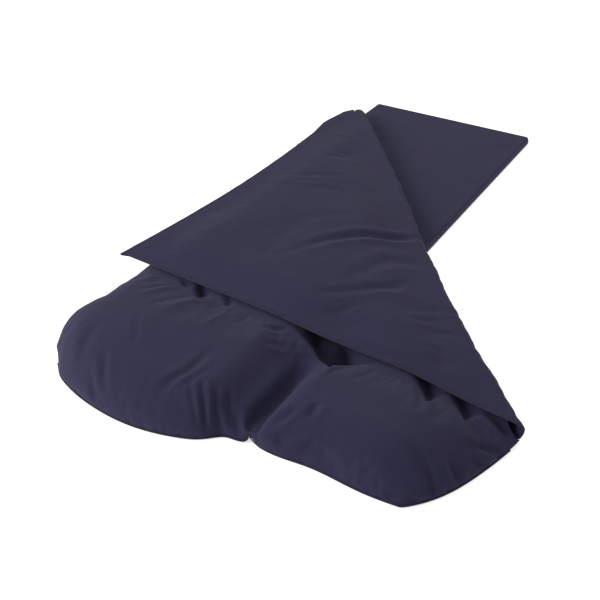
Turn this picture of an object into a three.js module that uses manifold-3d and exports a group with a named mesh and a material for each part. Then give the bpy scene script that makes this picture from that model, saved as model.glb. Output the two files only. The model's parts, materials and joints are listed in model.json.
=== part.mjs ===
// Topper sleeping bag: a foam topper in a fitted cotton cover, with a duvet sewn to the cover along its left
// side and foot. The duvet's head corner is turned back over itself along a diagonal fold, so the head end of
// the topper is bare. Millimetres, +Z up. The origin is on the topper's underside, 340 mm from its left side
// and 1 m from its head end, which is at +Y.
import * as THREE from "three";
import { mergeVertices } from "three/addons/utils/BufferGeometryUtils.js";
import Module from "manifold-3d";

const wasm = await Module();
wasm.setup();

// Driving dimensions.
const TOPPER_LEFT = -340;
const TOPPER_RIGHT = 308;
const TOPPER_HEAD = 1000;
const TOPPER_FOOT = -925;
const TOPPER_HEIGHT = 30;
const HEAD_CORNER = 14;
const FOOT_CORNER = 30;
const FOOT_CURVE_WIDTH = 70;
const FOOT_CURVE_LENGTH = 250;
const FABRIC = 1.2;
const GAP = 0.4;
const SEAM = 4;
const LAYER_GAP = 4;

const SIDE_DROP = TOPPER_RIGHT + 8;
const FOOT_DROP = TOPPER_FOOT - 6;

// The fold that the duvet's corner turns on, from the topper's left side to the duvet's right edge.
const FOLD_HEAD = new THREE.Vector3(-346, 806, 68);
const FOLD_FOOT = new THREE.Vector3(846, -618, 50);
const CORNER_TIP = new THREE.Vector2(-400, -553);
const FOLD_REACH = 250;

// The duvet's left edge, and its foot edge: a pouch over the topper's foot, then the part on the ground.
const DUVET_LEFT = -332;
const FOOT_LINE = -940;
const FOOT_POUCH = 97;
const FOOT_LEFT = -285;
const POUCH_START = -310;
const POUCH_END = 300;
const FOOT_RIGHT = 690;

const navyCotton = new THREE.MeshStandardMaterial({ color: 0x3e3c52, roughness: 0.88, metalness: 0 });
const navyThread = new THREE.MeshStandardMaterial({ color: 0x36344a, roughness: 0.85, metalness: 0 });
const foamCream = new THREE.MeshStandardMaterial({ color: 0xe6dfc8, roughness: 0.95, metalness: 0 });
const fibreWhite = new THREE.MeshStandardMaterial({ color: 0xf0f0ee, roughness: 1, metalness: 0 });
const zipNylon = new THREE.MeshStandardMaterial({ color: 0x2b2a3a, roughness: 0.5, metalness: 0 });
const zipMetal = new THREE.MeshStandardMaterial({ color: 0x6c6d72, roughness: 0.35, metalness: 1 });
const popperPlastic = new THREE.MeshStandardMaterial({ color: 0xdadce0, roughness: 0.4, metalness: 0 });
const labelSatin = new THREE.MeshStandardMaterial({ color: 0xf2f1ec, roughness: 0.6, metalness: 0 });

const model = new THREE.Group();

function add(name, geometry, material, parent = model) {
  const mesh = new THREE.Mesh(geometry, material);
  mesh.name = name;
  parent.add(mesh);
  return mesh;
}

// A steep rise from 0 to 1 that levels out, as the side of a stuffed seam does.
function puff(distance, reach) {
  const t = Math.min(Math.max(distance / reach, 0), 1);
  return Math.sqrt(1 - (1 - t) ** 2);
}

function ease(distance, reach) {
  return THREE.MathUtils.smoothstep(distance, 0, reach);
}

// Heights across the duvet's width, as [x, height] pairs that are eased into one another.
function profile(pairs, x) {
  const next = pairs.findIndex(([at]) => at > x);
  if (next === 0) return pairs[0][1];
  if (next < 0) return pairs.at(-1)[1];
  const [x0, z0] = pairs[next - 1];
  const [x1, z1] = pairs[next];
  return z0 + (z1 - z0) * ease(x - x0, x1 - x0);
}

const CROWN = [[-330, 100], [-90, 110], [120, 104], [300, 66], [430, 94], [600, 98], [846, 60]];
const LAY = [[-400, 88], [100, 88], [340, 76], [520, 76], [846, 56]];

// Plan outline of the duvet.
function leftEdge(y) {
  const curl = Math.max(-700 - y, 0) / 245;
  return DUVET_LEFT + 47 * curl ** 2 - 16 * THREE.MathUtils.clamp((y - 300) / 500, 0, 1);
}

function footEdge(x) {
  if (x < POUCH_END) {
    const turn = (Math.PI * Math.max(x - POUCH_START, 0)) / (POUCH_END - POUCH_START);
    return FOOT_LINE - FOOT_POUCH * Math.sin(turn) ** 0.8;
  }
  return FOOT_LINE - 12 * Math.sin((Math.PI * (x - POUCH_END)) / (FOOT_RIGHT - POUCH_END));
}

function rightEdge(y) {
  const down = Math.min((FOLD_FOOT.y - y) / (FOLD_FOOT.y - FOOT_LINE), 1);
  return FOLD_FOOT.x - (FOLD_FOOT.x - FOOT_RIGHT) * Math.max(down, 0) ** 1.8;
}

const foldLine = new THREE.Vector2(FOLD_FOOT.x - FOLD_HEAD.x, FOLD_FOOT.y - FOLD_HEAD.y);
const foldLength = foldLine.length();
foldLine.normalize();

// Distance from the fold, positive on the side where the duvet lies, and the height of the fold's axis there.
function foldDistance(x, y) {
  return foldLine.y * (x - FOLD_HEAD.x) - foldLine.x * (y - FOLD_HEAD.y);
}

function foldHeight(x, y) {
  const along = foldLine.x * (x - FOLD_HEAD.x) + foldLine.y * (y - FOLD_HEAD.y);
  return THREE.MathUtils.lerp(FOLD_HEAD.z, FOLD_FOOT.z, THREE.MathUtils.clamp(along / foldLength, 0, 1));
}

// The surface that the turned-back corner lies on.
function layHeight(x, y) {
  return THREE.MathUtils.lerp(foldHeight(x, y), profile(LAY, x), ease(foldDistance(x, y), FOLD_REACH));
}

// The duvet's underside: on the topper, down its right side and foot, and on the ground.
function duvetUnderside(x, y) {
  const pastSide = Math.max(x - SIDE_DROP, 0);
  const pastFoot = Math.max(FOOT_DROP - y, 0);
  const footReach = Math.min(Math.max(FOOT_DROP - footEdge(x), 12), 50);
  const fall = Math.max(ease(pastSide, 75), ease(pastFoot, footReach));
  const rest = THREE.MathUtils.lerp(TOPPER_HEIGHT + 2, 3, fall);
  const curl = (1 - puff(foldDistance(x, y), 60)) * (x > TOPPER_RIGHT ? ease(x - TOPPER_RIGHT, 120) : 0);
  return rest + curl * (foldHeight(x, y) - 12 - rest);
}

function sideEdgeY(x) {
  return THREE.MathUtils.lerp(CORNER_TIP.y, FOLD_FOOT.y, (x - CORNER_TIP.x) / (FOLD_FOOT.x - CORNER_TIP.x));
}

function duvetTop(x, y) {
  const seam = duvetUnderside(x, y) + SEAM;
  const edges = puff(x - leftEdge(y), 90) * puff(y - footEdge(x), 130) * puff(rightEdge(y) - x, 130);
  const open = ease(sideEdgeY(x) - 20 - y, 110);
  const crown = THREE.MathUtils.lerp(layHeight(x, y), profile(CROWN, x), open);
  const top = seam + Math.max(crown - seam, 0) * edges;
  return Math.max(Math.min(top, layHeight(x, y) + open * 200) - LAYER_GAP / 2, seam);
}

function cornerUnderside(x, y) {
  return layHeight(x, y) + LAYER_GAP / 2;
}

function cornerTop(x, y, u, v) {
  const edges = puff(u, 0.16) * puff(v, 0.2);
  const loft = 4 + 22 * edges * (0.3 + 0.7 * ease(foldDistance(x, y), FOLD_REACH));
  return cornerUnderside(x, y) + loft - (1 - puff(1 - u, 0.06)) * 2;
}

// A patch of the plan between four edges, each a function of 0 to 1, as [x, y].
function patch(foot, head, left, right) {
  return (u, v) =>
    [0, 1].map((axis) => {
      const between = (1 - v) * foot(u)[axis] + v * head(u)[axis];
      const across = (1 - u) * left(v)[axis] + u * right(v)[axis];
      const corners =
        (1 - u) * (1 - v) * foot(0)[axis] +
        u * (1 - v) * foot(1)[axis] +
        (1 - u) * v * head(0)[axis] +
        u * v * head(1)[axis];
      return between + across - corners;
    });
}

// Even steps from 0 to 1, with one more line set in from each end.
function stations(count, inset) {
  const even = Array.from({ length: count + 1 }, (_, i) => i / count);
  return inset ? [0, inset, ...even.slice(1, -1), 1 - inset, 1] : even;
}

// A closed solid over a plan, between two heights that are functions of x, y, u and v.
function slab(plan, us, vs, lower, upper) {
  const across = us.length - 1;
  const along = vs.length - 1;
  const positions = [];
  const index = [];
  const row = along + 1;
  const layer = (across + 1) * row;
  for (const height of [lower, upper]) {
    for (const u of us) {
      for (const v of vs) {
        const [x, y] = plan(u, v);
        positions.push(x, y, height(x, y, u, v));
      }
    }
  }
  const quad = (a, b, c, d) => index.push(a, b, c, a, c, d);
  for (let i = 0; i < across; i++) {
    for (let j = 0; j < along; j++) {
      const a = i * row + j;
      quad(a, a + 1, a + row + 1, a + row);
      quad(layer + a, layer + a + row, layer + a + row + 1, layer + a + 1);
    }
  }
  const rim = [];
  for (let i = 0; i < across; i++) rim.push(i * row);
  for (let j = 0; j < along; j++) rim.push(across * row + j);
  for (let i = across; i > 0; i--) rim.push(i * row + along);
  for (let j = along; j > 0; j--) rim.push(j);
  rim.forEach((a, i) => {
    const b = rim[(i + 1) % rim.length];
    quad(a, b, layer + b, layer + a);
  });
  const geometry = new THREE.BufferGeometry();
  geometry.setAttribute("position", new THREE.Float32BufferAttribute(positions, 3));
  geometry.setIndex(index);
  geometry.computeVertexNormals();
  return geometry;
}

// The three layers of a stuffed part. The filling stops one line short of the seam, where the panels meet.
function stuffed(name, plan, inset, [across, along], lower, upper, parent) {
  const skin = FABRIC + GAP;
  const us = stations(across, inset);
  const vs = stations(along, inset);
  const panel = (low, high) => slab(plan, us, vs, low, high);
  const filling = slab(
    plan,
    us.slice(1, -1),
    vs.slice(1, -1),
    (...at) => lower(...at) + skin,
    (...at) => upper(...at) - skin,
  );
  add(`${name}_lower_panel`, panel(lower, (...at) => lower(...at) + FABRIC), navyCotton, parent);
  add(`${name}_filling`, filling, fibreWhite, parent);
  add(`${name}_upper_panel`, panel((...at) => upper(...at) - FABRIC, upper), navyCotton, parent);
}

// A round cord along a list of points.
function piping(points, radius, steps) {
  const section = new THREE.Shape().absarc(0, 0, radius, 0, 2 * Math.PI, false);
  return new THREE.ExtrudeGeometry(section, {
    curveSegments: 4,
    steps,
    extrudePath: new THREE.CatmullRomCurve3(points),
  });
}

function box(width, length, height, x, y, z) {
  return new THREE.BoxGeometry(width, length, height).translate(x, y, z);
}

// A plate of the topper's outline, set in from it. The left corner at the foot is a long curve.
function topperPlate(inset, bottom, height) {
  const left = TOPPER_LEFT + inset;
  const right = TOPPER_RIGHT - inset;
  const round = HEAD_CORNER - inset;
  const foot = TOPPER_FOOT + inset;
  const [turnX, turnY] = [FOOT_CURVE_WIDTH - inset, FOOT_CURVE_LENGTH - inset];
  const outline = new THREE.Shape();
  outline.absarc(right - round, TOPPER_HEAD - inset - round, round, 0, Math.PI / 2, false);
  outline.absarc(left + round, TOPPER_HEAD - inset - round, round, Math.PI / 2, Math.PI, false);
  outline.absellipse(left + turnX, foot + turnY, turnX, turnY, Math.PI, 1.5 * Math.PI, false);
  outline.absarc(right - FOOT_CORNER, foot + FOOT_CORNER, FOOT_CORNER, 1.5 * Math.PI, 2 * Math.PI, false);
  const plate = new THREE.ExtrudeGeometry(outline, { depth: height, bevelEnabled: false, curveSegments: 10 });
  return plate.translate(0, 0, bottom);
}

function solid(geometry) {
  const bare = geometry.clone();
  bare.deleteAttribute("normal");
  bare.deleteAttribute("uv");
  const merged = mergeVertices(bare, 1e-4);
  return new wasm.Manifold(
    new wasm.Mesh({
      numProp: 3,
      vertProperties: merged.attributes.position.array,
      triVerts: new Uint32Array(merged.index.array),
    }),
  );
}

function geometryOf(manifold) {
  const mesh = manifold.getMesh();
  const geometry = new THREE.BufferGeometry();
  geometry.setAttribute("position", new THREE.BufferAttribute(mesh.vertProperties, 3));
  geometry.setIndex(new THREE.BufferAttribute(mesh.triVerts, 1));
  geometry.computeVertexNormals();
  return geometry;
}

function cut(body, ...tools) {
  return geometryOf(tools.reduce((left, tool) => left.subtract(solid(tool)), solid(body)));
}

// Topper: a foam slab in a fitted cover of a base panel, a side band and a top panel.
const topper = new THREE.Group();
model.add(topper);

const ZIP_LENGTH = 560;
const ZIP_MIDDLE = -16;
const ZIP_SLOT = 9;
const ZIP_HEIGHT = TOPPER_HEIGHT / 2;
const SKIN = FABRIC + GAP;

add("topper_base_panel", topperPlate(0, 0, FABRIC), navyCotton, topper);
const bandHeight = TOPPER_HEIGHT - 2 * SKIN;
add("foam_core", topperPlate(SKIN, SKIN, bandHeight), foamCream, topper);
add(
  "topper_side_band",
  cut(
    topperPlate(0, SKIN, bandHeight),
    topperPlate(FABRIC, 0, TOPPER_HEIGHT),
    box(ZIP_LENGTH, 20, ZIP_SLOT, ZIP_MIDDLE, TOPPER_HEAD, ZIP_HEIGHT),
  ),
  navyCotton,
  topper,
);
add("topper_top_panel", topperPlate(0, TOPPER_HEIGHT - FABRIC, FABRIC), navyCotton, topper);

// Zip in the head end of the band, so that the foam comes out for washing.
const TAPE_THICKNESS = 0.8;
const TAPE_WIDTH = 11;
const COIL = 2;
const COIL_GAP = 0.3;
const tapeFace = TOPPER_HEAD + GAP;
const coilFace = tapeFace + TAPE_THICKNESS + GAP;
for (const [name, side] of [["upper", 1], ["lower", -1]]) {
  const tapeAt = ZIP_HEIGHT + side * (COIL_GAP / 2 + 1 + TAPE_WIDTH / 2);
  add(
    `zip_tape_${name}`,
    box(ZIP_LENGTH + 24, TAPE_THICKNESS, TAPE_WIDTH, ZIP_MIDDLE, tapeFace + TAPE_THICKNESS / 2, tapeAt),
    navyThread,
    topper,
  );
  const coilAt = ZIP_HEIGHT + side * (COIL_GAP / 2 + COIL / 2);
  const teeth = Array.from({ length: 8 }, (_, i) => {
    const along = ZIP_MIDDLE - ZIP_LENGTH / 2 + ((i + 1) * ZIP_LENGTH) / 9;
    return box(1, 1, 1, along, coilFace + COIL, coilAt + side);
  });
  add(
    `zip_coil_${name}`,
    cut(box(ZIP_LENGTH, COIL, COIL, ZIP_MIDDLE, coilFace + COIL / 2, coilAt), ...teeth),
    zipNylon,
    topper,
  );
}
for (const [name, side] of [["left", -1], ["right", 1]]) {
  add(
    `zip_stop_${name}`,
    box(4, COIL, 2 * COIL + 1, ZIP_MIDDLE + side * (ZIP_LENGTH / 2 + 2.5), coilFace + COIL / 2, ZIP_HEIGHT),
    zipMetal,
    topper,
  );
}

// Slider: a plate over the coils with a flange on each side of them and a loop for the pull.
const SLIDER_LENGTH = 11;
const SLIDER_WIDTH = 9;
const SLIDER_X = ZIP_MIDDLE + ZIP_LENGTH / 2 - SLIDER_LENGTH;
const flangeInner = COIL_GAP / 2 + COIL + 0.3;
const plateFace = coilFace + COIL + 0.3;
const loopFace = plateFace + 1.2;
const sliderBody = [
  box(SLIDER_LENGTH, 1.2, SLIDER_WIDTH, SLIDER_X, plateFace + 0.6, ZIP_HEIGHT),
  ...[-1, 1].map((side) => {
    const width = SLIDER_WIDTH / 2 - flangeInner;
    const at = ZIP_HEIGHT + side * (flangeInner + width / 2);
    const depth = plateFace - coilFace + 0.1;
    return box(SLIDER_LENGTH, depth, width, SLIDER_X, coilFace + depth / 2, at);
  }),
  box(1.4, 2.8, 2.2, SLIDER_X - 3.5, loopFace + 1.3, ZIP_HEIGHT),
  box(1.4, 2.8, 2.2, SLIDER_X + 3.5, loopFace + 1.3, ZIP_HEIGHT),
  box(8.4, 1, 2.2, SLIDER_X, loopFace + 2.6, ZIP_HEIGHT),
].map(solid);
add("zip_slider", geometryOf(sliderBody.reduce((whole, piece) => whole.add(piece))), zipMetal);

// Pull: a flat tab whose eye is threaded on the slider's loop. It lies along the zip.
const PULL_LENGTH = 26;
const PULL_WIDTH = 7;
const EYE_BAR = 0.7;
const pullAt = loopFace + 1.05;
const pullEnd = SLIDER_X + EYE_BAR;
add(
  "zip_pull",
  cut(
    box(PULL_LENGTH, 1, PULL_WIDTH, pullEnd - PULL_LENGTH / 2, pullAt, ZIP_HEIGHT),
    box(5.8, 3, 3.4, SLIDER_X - EYE_BAR - 2.9, pullAt, ZIP_HEIGHT),
    new THREE.CylinderGeometry(1.6, 1.6, 4, 16).translate(pullEnd - PULL_LENGTH + 4, pullAt, ZIP_HEIGHT),
  ),
  zipMetal,
);

// Blank care label sewn into the left side of the band.
add("care_label", box(0.6, 30, 12, TOPPER_LEFT - 0.7, -420, 7.5), labelSatin, topper);

// Duvet: two cotton panels round a fibre filling, sewn to the cover by a binding on its left side.
const duvet = new THREE.Group();
model.add(duvet);
const mix = (a, b, t) => a + (b - a) * t;
const dropAt = (SIDE_DROP - FOLD_HEAD.x) / (FOLD_FOOT.x - FOLD_HEAD.x);

// The duvet's foot and right edges as one run, and the fold. Both pass the topper's right side at half way.
function outerEdge(u) {
  if (u < 0.5) {
    const x = mix(FOOT_LEFT, SIDE_DROP, u / 0.5);
    return [x, footEdge(x)];
  }
  if (u < 0.75) {
    const x = mix(SIDE_DROP, FOOT_RIGHT, (u - 0.5) / 0.25);
    return [x, footEdge(x)];
  }
  const y = mix(FOOT_LINE, FOLD_FOOT.y - 28, (u - 0.75) / 0.25);
  return [rightEdge(y), y];
}

function foldEdge(u) {
  const t = u < 0.5 ? (dropAt * u) / 0.5 : mix(dropAt, 1, (u - 0.5) / 0.5);
  return [mix(FOLD_HEAD.x, FOLD_FOOT.x, t), mix(FOLD_HEAD.y, FOLD_FOOT.y, t)];
}

const FOOT_ROWS = 0.1;
function duvetPlan(u, v) {
  const [footX, footY] = outerEdge(u);
  const [headX, headY] = foldEdge(u);
  const stepY = u < 0.5 ? Math.max(FOOT_DROP - footY, 18) : mix(18, (headY - footY) * FOOT_ROWS, 2 * u - 1);
  const pastFoot = (v - FOOT_ROWS) / (1 - FOOT_ROWS);
  const y = pastFoot < 0 ? footY + stepY * (v / FOOT_ROWS) : mix(footY + stepY, headY, pastFoot);
  const along = (y - footY) / (headY - footY);
  const bow = Math.max(1 - 2 * u, 0) * (leftEdge(y) - mix(FOOT_LEFT, FOLD_HEAD.x, along));
  return [mix(footX, headX, along) + bow * Math.min(along / 0.02, (1 - along) / 0.1, 1), y];
}
const DUVET_COLUMNS = 20;
const DUVET_INSET = 0.02;
stuffed("duvet", duvetPlan, DUVET_INSET, [DUVET_COLUMNS, 20], duvetUnderside, duvetTop, duvet);

const PIPING = 2.5;
const seamPoints = stations(DUVET_COLUMNS, DUVET_INSET).slice(1, -1).map((u) => {
  const [x, y] = outerEdge(u);
  const [beforeX, beforeY] = outerEdge(u - 0.015);
  const [afterX, afterY] = outerEdge(u + 0.015);
  const out = new THREE.Vector2(afterY - beforeY, beforeX - afterX).setLength(PIPING + 3.5);
  return new THREE.Vector3(x + out.x, y + out.y, Math.max(duvetUnderside(x, y) + SEAM / 2, PIPING + 1));
});
add("duvet_edge_piping", piping(seamPoints, PIPING, 60), navyThread, duvet);
add(
  "side_join_binding",
  box(2, FOLD_HEAD.y + 650, 16, TOPPER_LEFT - 1.4, (FOLD_HEAD.y - 650) / 2, TOPPER_HEIGHT - 8),
  navyThread,
  duvet,
);

// Gusset under the foot pouch, from the cover's base to the duvet's edge.
const GUSSET_LEFT = -262;
const GUSSET_RIGHT = 252;
const gusset = new THREE.Shape();
gusset.moveTo(GUSSET_LEFT, TOPPER_FOOT - 1);
for (let i = 0; i <= 16; i++) {
  const x = mix(GUSSET_LEFT, GUSSET_RIGHT, i / 16);
  gusset.lineTo(x, footEdge(x) + 9);
}
gusset.lineTo(GUSSET_RIGHT, TOPPER_FOOT - 1);
add(
  "foot_gusset",
  new THREE.ExtrudeGeometry(gusset, { depth: FABRIC, bevelEnabled: false }).translate(0, 0, 0.2),
  navyCotton,
  duvet,
);

// The turned-back corner, with the same layers, a hem on its head edge and piping on its side edge.
const HEM_WIDTH = 24;
const HEM_ROOM = 3.2;
const corner = new THREE.Group();
model.add(corner);
const headFoot = [CORNER_TIP.x + HEM_WIDTH + 2, CORNER_TIP.y + 8];
const headTop = [FOLD_HEAD.x + HEM_WIDTH + 4, FOLD_HEAD.y - 38];
const sideEnd = [FOLD_FOOT.x - 16, FOLD_FOOT.y + 8];
const foldEnd = [FOLD_FOOT.x - 7, FOLD_FOOT.y + 3];
const span = (from, to) => (t) => [mix(from[0], to[0], t), mix(from[1], to[1], t)];
const cornerPlan = patch(
  span(headFoot, sideEnd),
  span(headTop, foldEnd),
  span(headFoot, headTop),
  span(sideEnd, foldEnd),
);
stuffed("corner", cornerPlan, 0.03, [16, 12], cornerUnderside, cornerTop, corner);

const hemPlan = patch(
  span([CORNER_TIP.x, CORNER_TIP.y], [CORNER_TIP.x + HEM_WIDTH, CORNER_TIP.y + 6]),
  span([FOLD_HEAD.x, FOLD_HEAD.y - 14], [FOLD_HEAD.x + HEM_WIDTH, FOLD_HEAD.y - 38]),
  span([CORNER_TIP.x, CORNER_TIP.y], [FOLD_HEAD.x, FOLD_HEAD.y - 14]),
  span([CORNER_TIP.x + HEM_WIDTH, CORNER_TIP.y + 6], [FOLD_HEAD.x + HEM_WIDTH, FOLD_HEAD.y - 38]),
);
const hemLift = FABRIC + HEM_ROOM;
for (const [name, lift] of [["lower", 0], ["upper", hemLift]]) {
  const height = (extra) => (x, y) => cornerUnderside(x, y) + lift + extra;
  const layer = slab(hemPlan, stations(2), stations(24), height(0), height(FABRIC));
  add(`corner_hem_${name}`, layer, navyCotton, corner);
}
const cornerSeam = Array.from({ length: 25 }, (_, i) => {
  const [x, y] = span([CORNER_TIP.x + HEM_WIDTH + 2, CORNER_TIP.y + 8], sideEnd)(i / 24);
  return new THREE.Vector3(x, y - 3.6, cornerUnderside(x, y) + 3);
});
add("corner_side_piping", piping(cornerSeam, 2, 50), navyThread, corner);

// Press studs between the two layers of the hem, which close the duvet's cover.
const POPPERS = 6;
for (let i = 1; i <= POPPERS; i++) {
  const [x, y] = hemPlan(0.5, (0.9 * (i - 0.4)) / POPPERS);
  const floor = cornerUnderside(x, y) + FABRIC + 0.9;
  const socket = new THREE.CylinderGeometry(5, 5, 0.7, 16).rotateX(Math.PI / 2);
  const stud = new THREE.CylinderGeometry(3.2, 3.2, 0.6, 16).rotateX(Math.PI / 2);
  add(`popper_socket_${i}`, socket.translate(x, y, floor + 0.35), popperPlastic, corner);
  add(`popper_stud_${i}`, stud.translate(x, y, floor + 1.3), popperPlastic, corner);
}

export default model;
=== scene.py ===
"""Topper sleeping bag: a foam topper in a navy cotton cover, and a duvet joined along its left side and foot.

The duvet's head corner is turned back along a diagonal fold. Everything is in metres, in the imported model's
frame: +Z up, the head end at +Y, and the duvet's open side at +X.
"""
import json
import math

import bmesh
import bpy
import numpy as np
from mathutils import Matrix, Vector
from mathutils.geometry import delaunay_2d_cdt


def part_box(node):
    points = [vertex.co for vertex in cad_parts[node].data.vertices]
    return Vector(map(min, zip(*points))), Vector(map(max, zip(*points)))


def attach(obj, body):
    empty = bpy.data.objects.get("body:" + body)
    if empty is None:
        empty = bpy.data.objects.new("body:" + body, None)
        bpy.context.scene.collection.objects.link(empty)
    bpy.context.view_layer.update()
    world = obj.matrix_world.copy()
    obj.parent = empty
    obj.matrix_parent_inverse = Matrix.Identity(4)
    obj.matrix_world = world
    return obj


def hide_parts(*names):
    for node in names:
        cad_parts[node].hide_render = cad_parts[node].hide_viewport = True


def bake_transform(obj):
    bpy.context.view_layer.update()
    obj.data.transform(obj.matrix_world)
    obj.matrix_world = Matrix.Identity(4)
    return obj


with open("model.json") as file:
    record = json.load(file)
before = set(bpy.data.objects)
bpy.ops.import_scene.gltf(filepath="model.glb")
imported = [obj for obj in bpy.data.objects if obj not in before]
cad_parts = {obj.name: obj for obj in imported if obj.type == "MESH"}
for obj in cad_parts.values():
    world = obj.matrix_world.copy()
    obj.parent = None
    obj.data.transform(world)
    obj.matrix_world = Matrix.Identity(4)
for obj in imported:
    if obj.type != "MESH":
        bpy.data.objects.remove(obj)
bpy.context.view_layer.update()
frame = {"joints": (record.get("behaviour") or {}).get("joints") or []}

# Camera. It looks down over the length of the bag from the foot end, to the right of the topper.
CAMERA_PLACE = Vector((1.203, -2.232, 1.478))
CAMERA_HEADING = math.radians(-30.63)
CAMERA_DOWN = math.radians(34.30)
CAMERA_ROLL = math.radians(0.30)
sideways = Vector((math.cos(CAMERA_HEADING), -math.sin(CAMERA_HEADING), 0))
ahead = Vector((
    math.sin(CAMERA_HEADING) * math.cos(CAMERA_DOWN),
    math.cos(CAMERA_HEADING) * math.cos(CAMERA_DOWN),
    -math.sin(CAMERA_DOWN),
))
upright = sideways.cross(ahead)
camera = bpy.data.objects.new("camera", bpy.data.cameras.new("camera"))
bpy.context.scene.collection.objects.link(camera)
camera_axes = Matrix((
    math.cos(CAMERA_ROLL) * sideways + math.sin(CAMERA_ROLL) * upright,
    math.cos(CAMERA_ROLL) * upright - math.sin(CAMERA_ROLL) * sideways,
    -ahead,
)).transposed()
camera.matrix_world = Matrix.Translation(CAMERA_PLACE) @ camera_axes.to_4x4()
camera.data.sensor_width = 36
camera.data.lens = 54.72
camera.data.clip_end = 60
bpy.context.scene.camera = camera

# Studio. A white floor that glows a little, so that it stays white away from the lamps, under an even white
# surround. One large soft light stands at the left of the foot end, and a weaker one hangs over the head end.
FLOOR_HALF = 14
floor_mesh = bpy.data.meshes.new("floor")
floor_mesh.from_pydata(
    [(x * FLOOR_HALF, y * FLOOR_HALF, 0) for x, y in ((-1, -1), (1, -1), (1, 1), (-1, 1))], [], [(0, 1, 2, 3)]
)
floor = bpy.data.objects.new("floor", floor_mesh)
bpy.context.scene.collection.objects.link(floor)
floor_paint = bpy.data.materials.new("floor_white")
floor_paint.use_nodes = True
floor_shader = floor_paint.node_tree.nodes["Principled BSDF"]
floor_shader.inputs["Base Color"].default_value = (0.62, 0.62, 0.62, 1)
floor_shader.inputs["Roughness"].default_value = 0.9
floor_shader.inputs["Emission Color"].default_value = (1, 1, 1, 1)
floor_shader.inputs["Emission Strength"].default_value = 0.66
floor_mesh.materials.append(floor_paint)

world = bpy.data.worlds.new("surround")
world.use_nodes = True
world.node_tree.nodes["Background"].inputs["Color"].default_value = (1, 1, 1, 1)
world.node_tree.nodes["Background"].inputs["Strength"].default_value = 0.64
bpy.context.scene.world = world
bpy.context.scene.view_settings.view_transform = "Standard"


def soft_light(name, place, target, size, watts):
    lamp = bpy.data.lights.new(name, "AREA")
    lamp.shape = "SQUARE"
    lamp.size = size
    lamp.energy = watts
    light = bpy.data.objects.new(name, lamp)
    bpy.context.scene.collection.objects.link(light)
    light.location = place
    light.rotation_euler = (Vector(target) - Vector(place)).to_track_quat("-Z", "Y").to_euler()


soft_light("key_light", (-2.9, -3.2, 2.3), (0.1, -0.3, 0), 2.2, 213)
soft_light("top_light", (0.6, 2.4, 3.2), (0.1, 0.3, 0), 3.0, 45)


# Cotton. The covers are a matt plain weave, dyed navy before it was cut. Its threads run along the cloth, so
# the pattern reads each piece's own UV map, in metres along the warp and the weft.
class Value:
    """A socket that takes part in arithmetic."""

    def __init__(self, material, socket):
        self.material = material
        self.socket = socket

    def math(self, operation, other=None, swap=False):
        node = self.material.node_tree.nodes.new("ShaderNodeMath")
        node.operation = operation
        for slot_number, value in enumerate([other, self] if swap else [self, other]):
            if isinstance(value, Value):
                self.material.node_tree.links.new(value.socket, node.inputs[slot_number])
            elif value is not None:
                node.inputs[slot_number].default_value = value
        return Value(self.material, node.outputs[0])

    def __add__(self, other):
        return self.math("ADD", other)

    __radd__ = __add__

    def __mul__(self, other):
        return self.math("MULTIPLY", other)

    __rmul__ = __mul__

    def __sub__(self, other):
        return self.math("SUBTRACT", other)

    def __rsub__(self, other):
        return self.math("SUBTRACT", other, swap=True)


class Finish:
    """A material whose nodes are made one call at a time."""

    def __init__(self, name):
        self.material = bpy.data.materials.new(name)
        self.material.use_nodes = True
        self.tree = self.material.node_tree
        self.surface = self.tree.nodes["Principled BSDF"]

    def node(self, kind, settings=None, output=0, **sockets):
        made = self.tree.nodes.new("ShaderNode" + kind)
        for key, value in (settings or {}).items():
            if key == "stops":
                for stop, (place, colour) in zip(made.color_ramp.elements, value):
                    stop.position = place
                    stop.color = colour
            else:
                setattr(made, key, value)
        for key, value in sockets.items():
            self.feed(made.inputs[key.replace("_", " ")], value)
        return Value(self.material, made.outputs[output])

    def feed(self, socket, value):
        if isinstance(value, Value):
            self.tree.links.new(value.socket, socket)
        else:
            socket.default_value = value

    def set(self, **sockets):
        for key, value in sockets.items():
            self.feed(self.surface.inputs[key.replace("_", " ")], value)

    def mix(self, share, first, second):
        made = self.tree.nodes.new("ShaderNodeMix")
        made.data_type = "RGBA"
        self.feed(made.inputs[0], share)
        self.feed(made.inputs[6], first)
        self.feed(made.inputs[7], second)
        return Value(self.material, made.outputs[2])


def linear(red, green, blue):
    return tuple(((c / 255 + 0.055) / 1.055) ** 2.4 for c in (red, green, blue)) + (1,)


NAVY = linear(37, 35, 58)
NAVY_WORN = linear(44, 42, 66)
NAVY_DEEP = linear(33, 31, 52)
THREAD_PITCH = 0.0009


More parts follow.
